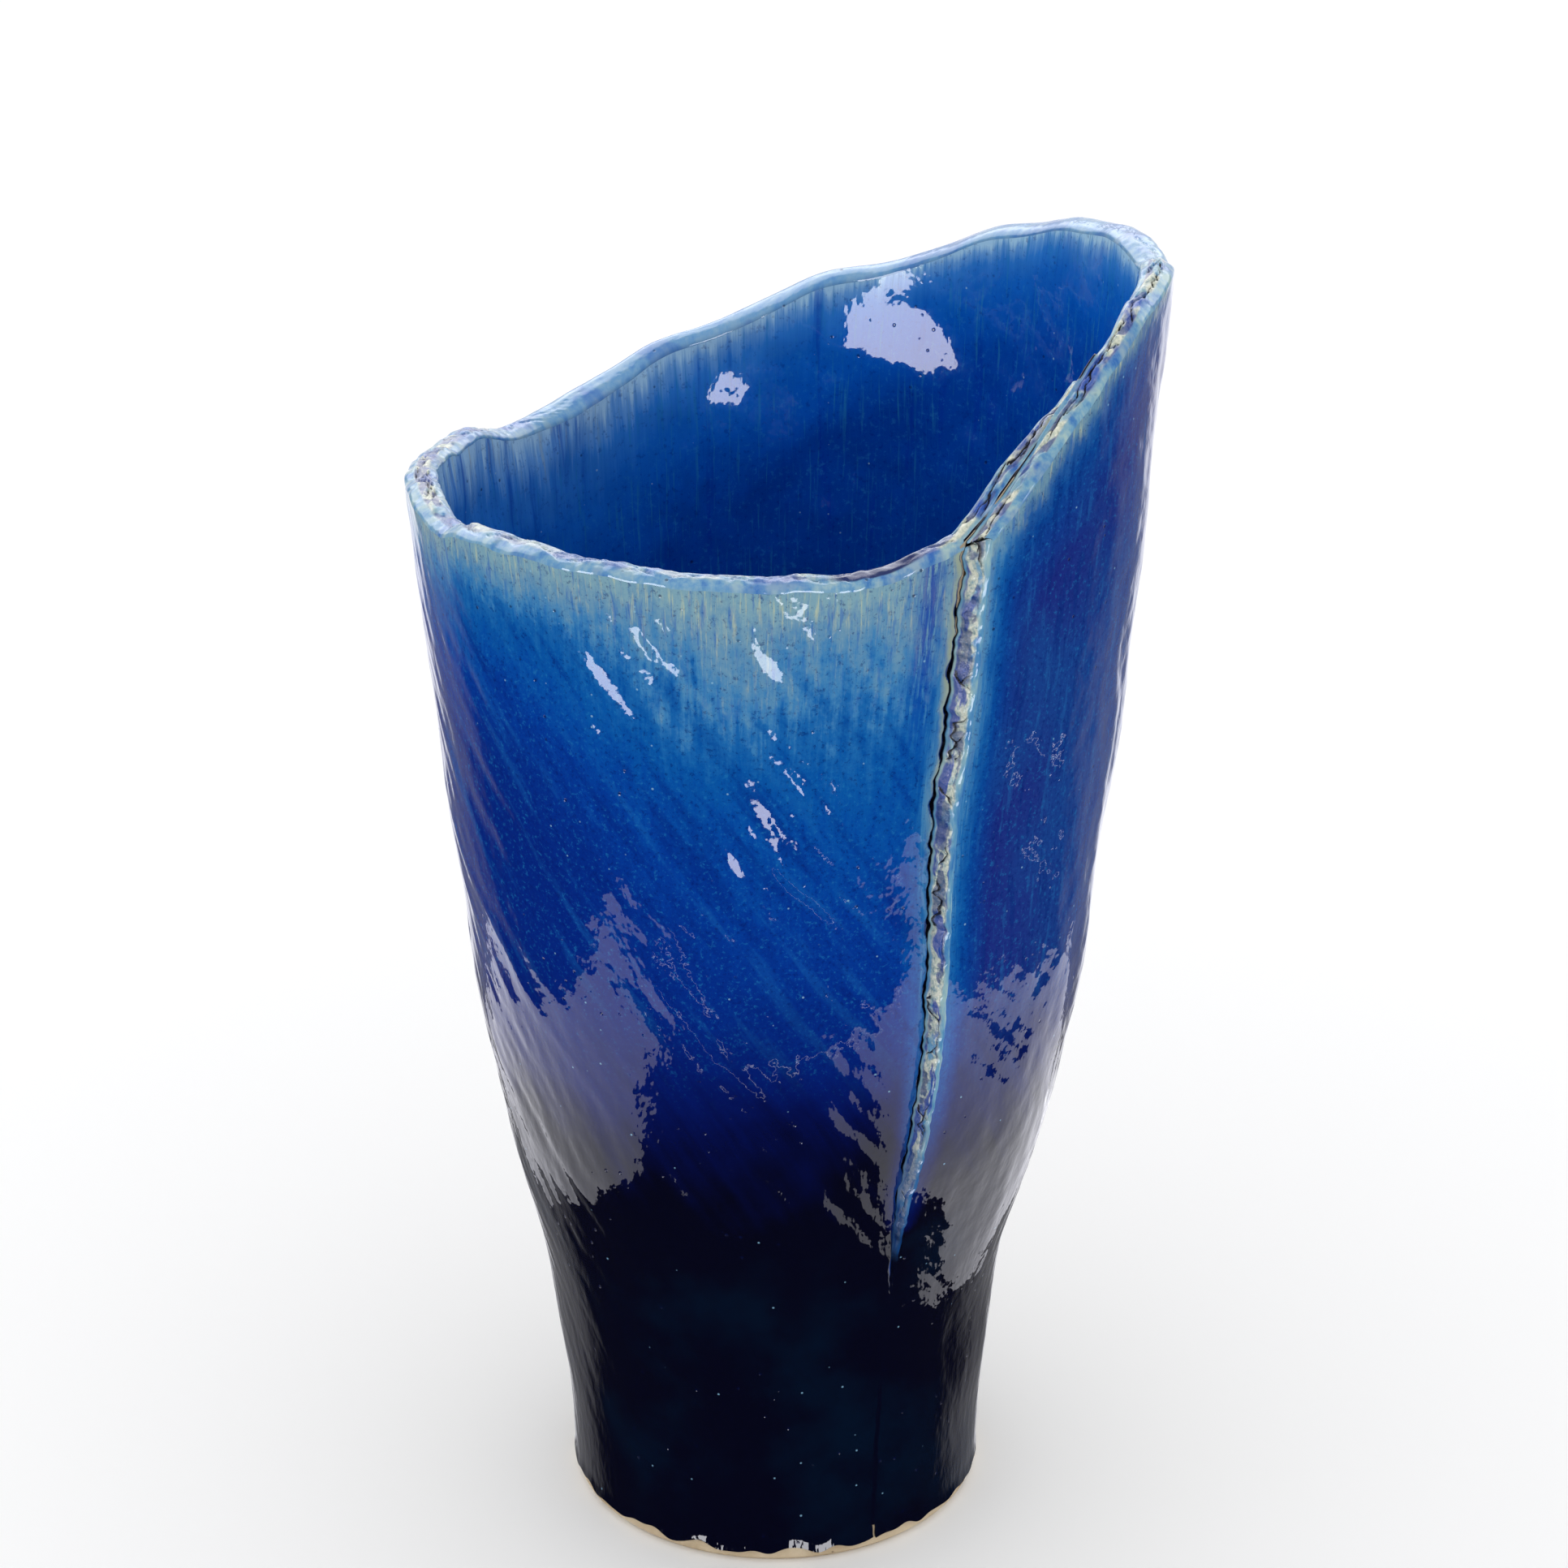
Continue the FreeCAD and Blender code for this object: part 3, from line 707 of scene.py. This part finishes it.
def torn_colour(wires):
    """Cream over high clay, turquoise and cobalt in low places, and near black in splits and low down."""
    run, spot = wires["run"], wires["spot"]
    colour = run.scaled(0.35, 0.06).noise(1.0, 4.0, 0.6).ramp([
        (0.30, paint(36, 100, 170)), (0.46, paint(92, 146, 182)), (0.62, paint(150, 180, 182)),
    ])
    clay = spot.noise(800.0, 3.0, 0.65).ramp([
        (0.34, paint(110, 138, 146)), (0.46, paint(166, 178, 168)), (0.62, paint(208, 210, 194)),
    ])
    thin = run.scaled(0.6, 0.10).noise(1.0, 3.0).between(0.36, 0.46)
    colour = colour.over(clay, wires["torn"].between(0.15, 0.7) * thin)
    pool = run.scaled(0.55, 0.055).noise(1.0, 3.0, 0.55).between(0.50, 0.56) * wires["torn"].between(0.1, 0.5)
    colour = colour.over(paint(14, 54, 148), pool * 0.85)
    low = (1.0 - wires["relief"].between(0.04, 0.20)) * wires["torn"].between(0.3, 0.8)
    colour = colour.over(paint(22, 52, 108), low * 0.75)
    level = run.node("ShaderNodeSeparateXYZ", None, {0: run}, 1) + (spot.noise(90.0, 3.0) - 0.5) * 60.0
    colour = colour.over(paint(14, 70, 140), (1.0 - level.between(110.0, 170.0)) * 0.85)
    colour = colour.over(paint(4, 6, 26), 1.0 - level.between(98.0, 128.0))
    colour = colour.over(paint(5, 6, 20), wires["crack"].between(0.25, 0.7))
    return colour, wires["torn"] * spot.noise(500.0).between(0.45, 0.65) * 0.30 + 0.05


torn_glaze = glossy_glaze("torn_edge_glaze", torn_colour, coarse=0.8, specks=0.2)
seam_edge = shell("seam_edge_glaze_coat", seam_front, seam_back, marks)
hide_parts("seam_edge_glaze")
seam_edge.data.materials.append(torn_glaze)


# ---- The torn rim --------------------------------------------------------------------------------------
# The slab's top edge was torn too. Its shoulders are rounded by thick glaze, its crown is split along its
# length, and where the slab laps over itself two lips run side by side.

RIM_COLUMNS = 26
RIM_POOL = 347.0

turn = spaced(0.0, FULL_TURN + LAP, 0.34, 0.15, 6.0)[:, None]
through = (0.5 - 0.5 * np.cos(np.linspace(0.0, np.pi, RIM_COLUMNS)))[None, :]
first_lip, second_lip = turn < LAP, turn > FULL_TURN
outside = turn + bevel(turn, lip_edge(turn, 0.0)) * ~second_lip
at = mix(outside, turn, through)
z_out, z_in = lip_edge(outside, 0.0), lip_edge(turn, 1.0)
out_radius = np.where(second_lip, outer_clay(turn, z_out) + 0.2, outer_skin(outside, z_out))
in_radius = inner_clay(turn, z_in) - GLAZE
thick = out_radius - in_radius
x = through * thick
s = arc(turn)
crown = crown_over(through)
pooled = np.exp(-(((turn - RIM_POOL) / 8.0) ** 2))
middle = smooth_step(0.16, 0.38, through) * smooth_step(0.12, 0.34, 1.0 - through) * torn_share(turn)
middle = middle * (1.0 - 0.8 * pooled)
first = split(s, x, 0.46 * thick, 71, 0.26)
first *= smooth_step(-1.1, -0.5, ripples(s, 0.0, 73, 60.0, 0.3, 90.0, 0.0))
second = split(s, x, 0.66 * thick, 74, 0.24)
second *= smooth_step(-0.3, 0.2, ripples(s, 0.0, 76, 40.0, 0.3, 90.0, 0.0))
groove = first_lip * smooth_step(0.82, 0.94, through) + second_lip * (1.0 - smooth_step(0.06, 0.18, through))
gap = np.maximum(first, second) * middle
filled = smooth_step(-0.2, 0.5, ripples(arc(turn % FULL_TURN), 0.0, 91, 24.0, 0.4, 90.0, 0.0))
tear = 0.65 * terraces(s, x, 77, 5.0)
tear += 0.12 * ripples(s, x, 78, 4.0, 0.4, 0.0, 45.0) + 0.05 * ripples(s, x, 79, 1.6, 0.3, 0.0, 60.0)
edge = mix(z_out, z_in, through)
height = edge + crown + (GLAZE + tear - 0.3) * middle - 1.3 * gap + 1.1 * groove
radius = mix(out_radius, in_radius, through)
marks = {
    "run": np.stack(np.broadcast_arrays(s, x, 0.0 * x), axis=-1),
    "crack": np.maximum(gap, groove * (1.0 - 0.9 * filled)),
    "torn": middle + 0.0 * x,
    "relief": tear * middle,
    "pool": pooled * smooth_step(0.1, 0.4, through),
    "ink": 1.0 - torn_share(turn) + 0.0 * x,
}
rim_front = place(at, radius, height)
inner_radius = mix(out_radius - GLAZE, in_radius + GLAZE, through)
rim_back = place(at, inner_radius, np.minimum(height - 0.3, edge + 0.7 * crown))


def rim_colour(wires):
    """Pale turquoise runs, cream where the clay is torn, cobalt in pools, near black in the splits."""
    run, spot = wires["run"], wires["spot"]
    colour = run.scaled(0.26, 0.20).noise(1.0, 4.0, 0.62).ramp([
        (0.34, paint(58, 112, 174)), (0.46, paint(108, 154, 184)), (0.62, paint(158, 184, 184)),
    ])
    colour = colour.over(paint(96, 146, 196), wires["ink"] * 0.7)
    # Torn clay runs from grey through cream to near white. The near-white top is partly pale clay and partly
    # painted glints.
    clay = spot.noise(600.0, 3.0, 0.65).ramp([
        (0.28, paint(100, 124, 132)), (0.42, paint(180, 188, 172)), (0.62, paint(224, 224, 206)),
    ])
    thin = spot.noise(110.0, 3.0).between(0.40, 0.52)
    colour = colour.over(clay, wires["torn"].between(0.25, 0.85) * thin)
    deep = spot.noise(90.0, 3.0).between(0.51, 0.61)
    colour = colour.over(paint(22, 74, 170), deep * (wires["torn"] * 0.6 + 0.3))
    low = (1.0 - wires["relief"].between(0.05, 0.30)) * wires["torn"].between(0.3, 0.8)
    colour = colour.over(paint(18, 52, 128), low * 0.75)
    pooled = wires["pool"].between(0.25, 0.6) * spot.noise(60.0).between(0.30, 0.44)
    colour = colour.over(paint(12, 24, 84), pooled * 0.95)
    colour = colour.over(paint(7, 8, 24), wires["crack"].between(0.28, 0.7))
    return colour, wires["torn"] * spot.noise(450.0).between(0.45, 0.65) * 0.28 + 0.05


backwards = {key: value[::-1] for key, value in marks.items()}
rim = shell("rim_glaze_coat", rim_front[::-1], rim_back[::-1], backwards)
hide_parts("rim_glaze")
rim.data.materials.append(glossy_glaze("rim_glaze", rim_colour, coarse=0.8, specks=0.2))


# ---- The liner and the floor's glaze -------------------------------------------------------------------
# The same glaze was poured round the inside and tipped out, so it hangs in upright runs, pale at the lip and
# darker downwards. What was left set as a pool on the floor and over the coil in the corner.

COIL_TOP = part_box("floor_joint_coil")[1][2] / MM
LINER_ROWS = 176
LINER_REACH = [(26, 5), (110, 4.5), (150, 6), (195, 10), (240, 13), (300, 12), (386, 9)]

turn = spaced(LAP + 0.5, FULL_TURN + LAP, 1.5, 0.35, 6.0)[:, None]
up = np.linspace(0.0, 1.0, LINER_ROWS)[None, :]
z = mix(COIL_TOP, lip_edge(turn, 1.0), up)
inside = inner_clay(turn, z) - GLAZE
marks = {
    "run": np.stack(np.broadcast_arrays(arc(turn), z, 0.0 * z), axis=-1),
    "drop": lip_edge(turn, 1.0) - z,
    "reach": curve_through(LINER_REACH, turn) + 0.0 * z,
}


def liner_colour(wires):
    """Turquoise at the lip to teal and cobalt, in upright runs, darker by depth below the rim."""
    run, spot = wires["run"], wires["spot"]
    cloud = spot.noise(26.0, 3.0)
    streak = run.scaled(0.22, 0.012).noise(1.0, 4.0, 0.62)
    thread = run.scaled(0.8, 0.035).noise(1.0, 4.0, 0.65)
    depth = wires["drop"] / wires["reach"] + (cloud - 0.5) * 1.6
    depth = depth + (streak - 0.5) * 2.4 + (thread - 0.5) * 1.6
    colour = (depth * 0.125).ramp([
        (0.00, paint(160, 202, 230)), (0.06, paint(98, 154, 212)), (0.15, paint(44, 118, 200)),
        (0.32, paint(16, 96, 190)), (0.55, paint(4, 84, 182)), (0.80, paint(3, 74, 172)),
        (1.00, paint(2, 64, 160)),
    ])
    teal = thread.between(0.54, 0.68) * (1.0 - depth.between(5.0, 30.0))
    colour = colour.over(paint(36, 122, 172), teal * 0.5)
    dark = streak.between(0.56, 0.72)
    colour = colour.over(paint(6, 44, 156), dark * 0.5)
    cream = thread.between(0.56, 0.68) * (1.0 - depth.between(0.0, 1.6)) * wires["reach"].between(7.0, 11.0)
    colour = colour.over(paint(190, 206, 200), cream * 0.7)
    sand = spot.noise(500.0, 3.0, 0.75)
    colour = colour.over(paint(40, 124, 190), sand.between(0.54, 0.72) * depth.between(0.5, 2.0) * 0.35)
    colour = colour.over(paint(2, 34, 120), (1.0 - sand.between(0.30, 0.44)) * 0.4)
    colour = colour.over(paint(2, 30, 96), wires["drop"].between(110.0, 300.0) * 0.8)
    return colour, spot.noise(40.0) * 0.03 + 0.03


liner_glaze = glossy_glaze("liner_glaze", liner_colour)
liner_front, liner_back = place(turn, inside, z), place(turn, inside + GLAZE, z)
backwards = {key: value[::-1] for key, value in marks.items()}
liner = shell("liner_glaze_coat", liner_front[::-1], liner_back[::-1], backwards)
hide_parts("liner_glaze")
liner.data.materials.append(liner_glaze)

end = FULL_TURN + LAP
deep = np.linspace(0.0, 1.0, 7)[:, None]
z = mix(COIL_TOP, lip_edge(end, 1.0), np.linspace(0.0, 1.0, 160)[None, :])
radius = mix(outer_clay(end, z), inner_clay(end, z) - GLAZE, deep)
marks = {
    "run": np.stack(np.broadcast_arrays(arc(end) - deep * SLAB, z, 0.0 * z), axis=-1),
    "drop": lip_edge(end, 1.0) - z + 0.0 * deep,
    "reach": 9.0 + 0.0 * z * deep,
}
lap_end = shell("lap_end_glaze_coat", place(end + 0.3, radius, z), place(end + 0.02, radius, z), marks)
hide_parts("lap_end_glaze")
lap_end.data.materials.append(liner_glaze)


def pool_colour(wires):
    """Deep cobalt, cloudy, as glaze is where it has set thick."""
    cloud = wires["spot"].noise(60.0, 4.0, 0.6)
    colour = cloud.ramp([(0.35, paint(3, 40, 118)), (0.65, paint(6, 74, 156))])
    return colour, wires["spot"].noise(40.0) * 0.03 + 0.03


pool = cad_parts["floor_glaze"].data.materials
pool.clear()
pool.append(glossy_glaze("pool_glaze", pool_colour))


# ---- Studio --------------------------------------------------------------------------------------------
# A pale floor under a white dome. The glaze mirrors a dark studio with two bright windows in front, two
# reflectors lying left and right, a thin strip in front and one at the right, and the white sweep behind.

STUDIO_SIZE = 12.0
CAMERA_LENS = 108.07
CAMERA_SENSOR = 36.0
CAMERA_DISTANCE = 1.3
CAMERA_ELEVATION = 25.0
CAMERA_AIM = (0.0025, 0.0, 0.217)

corners = [(x * STUDIO_SIZE, y * STUDIO_SIZE, 0.0) for x, y in ((-1, -1), (1, -1), (1, 1), (-1, 1))]
sheet = bpy.data.meshes.new("studio_floor")
sheet.from_pydata(corners, [], [(0, 1, 2, 3)])
studio_floor = bpy.data.objects.new("studio_floor", sheet)
bpy.context.collection.objects.link(studio_floor)
studio_floor.visible_glossy = False
paper, _, _ = material("studio_paper", Base_Color=(0.93, 0.93, 0.93, 1.0), Roughness=0.9)
sheet.materials.append(paper)

sky = bpy.data.worlds.new("studio_dome")
bpy.context.scene.world = sky
sky.use_nodes = True
sky_start = Wire(sky.node_tree)
direction = sky_start.node("ShaderNodeTexCoord", output="Generated")
parts = [direction.node("ShaderNodeSeparateXYZ", None, {0: direction}, i) for i in range(3)]
azimuth = parts[0].math("ARCTAN2", parts[1], parts[0]) * float(np.degrees(1.0))
elevation = parts[2].math("ARCSINE", parts[2]) * float(np.degrees(1.0))


def window(heading, height, half_width, half_height, edge):
    """1 inside a soft-edged box of directions, 0 outside it. Angles in degrees."""
    side = abs((azimuth - heading).wrapped(-180.0, 180.0))
    level = abs(elevation - height)
    across = 1.0 - side.between(half_width - edge, half_width)
    return across * (1.0 - level.between(half_height - edge, half_height))


glow = parts[1].between(0.79, 0.87) * 0.9 + parts[1].between(0.30, 0.60) * 0.25
glow = glow + elevation.between(35.0, 80.0) * 0.5 + 0.015
glow = glow + window(90.0, 34.0, 80.0, 26.0, 12.0) * 3.0
glow = glow + window(-131.0, -4.0, 12.0, 20.5, 0.8) * 9.5 + window(-73.0, -5.5, 9.0, 23.0, 0.8) * 9.5
lavender = sky_start.node("ShaderNodeCombineColor", None, {0: glow * 0.94, 1: glow * 0.94, 2: glow})
path = sky_start.node("ShaderNodeLightPath", output="Is Glossy Ray")
by_ray = {0: path, 6: (1.12, 1.12, 1.12, 1.0), 7: lavender}
dome = sky_start.node("ShaderNodeMix", {"data_type": "RGBA"}, by_ray, 2)
sky.node_tree.links.new(dome.socket, sky.node_tree.nodes["Background"].inputs["Color"])

for name, middle, size, strength in (
    ("left_reflector", (-0.225, -0.010), (0.120, 0.420), 1.25),
    ("right_reflector", (0.210, -0.038), (0.180, 0.456), 1.2),
    ("front_edge", (0.020, -0.252), (0.400, 0.0022), 5.0),
    ("right_edge", (0.470, -0.010), (0.0035, 0.150), 5.0),
):
    lamp = bpy.data.lights.new(name, "AREA")
    lamp.shape, lamp.size, lamp.size_y = "RECTANGLE", size[0], size[1]
    lamp.energy = strength * np.pi * size[0] * size[1]
    lamp.color = (0.92, 0.92, 1.0)
    reflector = bpy.data.objects.new(name, lamp)
    bpy.context.collection.objects.link(reflector)
    reflector.location = (*middle, 0.0005)
    reflector.rotation_euler = (np.pi, 0.0, 0.0)
    reflector.visible_camera = False
    reflector.visible_diffuse = False

tilt = np.radians(CAMERA_ELEVATION)
lens = bpy.data.cameras.new("camera")
lens.lens, lens.sensor_width, lens.clip_end = CAMERA_LENS, CAMERA_SENSOR, 50.0
camera = bpy.data.objects.new("camera", lens)
bpy.context.collection.objects.link(camera)
back_off = (0.0, -CAMERA_DISTANCE * np.cos(tilt), CAMERA_DISTANCE * np.sin(tilt))
camera.location = [aim + off for aim, off in zip(CAMERA_AIM, back_off)]
camera.rotation_euler = (np.pi / 2 - tilt, 0.0, 0.0)
bpy.context.scene.camera = camera
bpy.context.scene.view_settings.view_transform = "Standard"
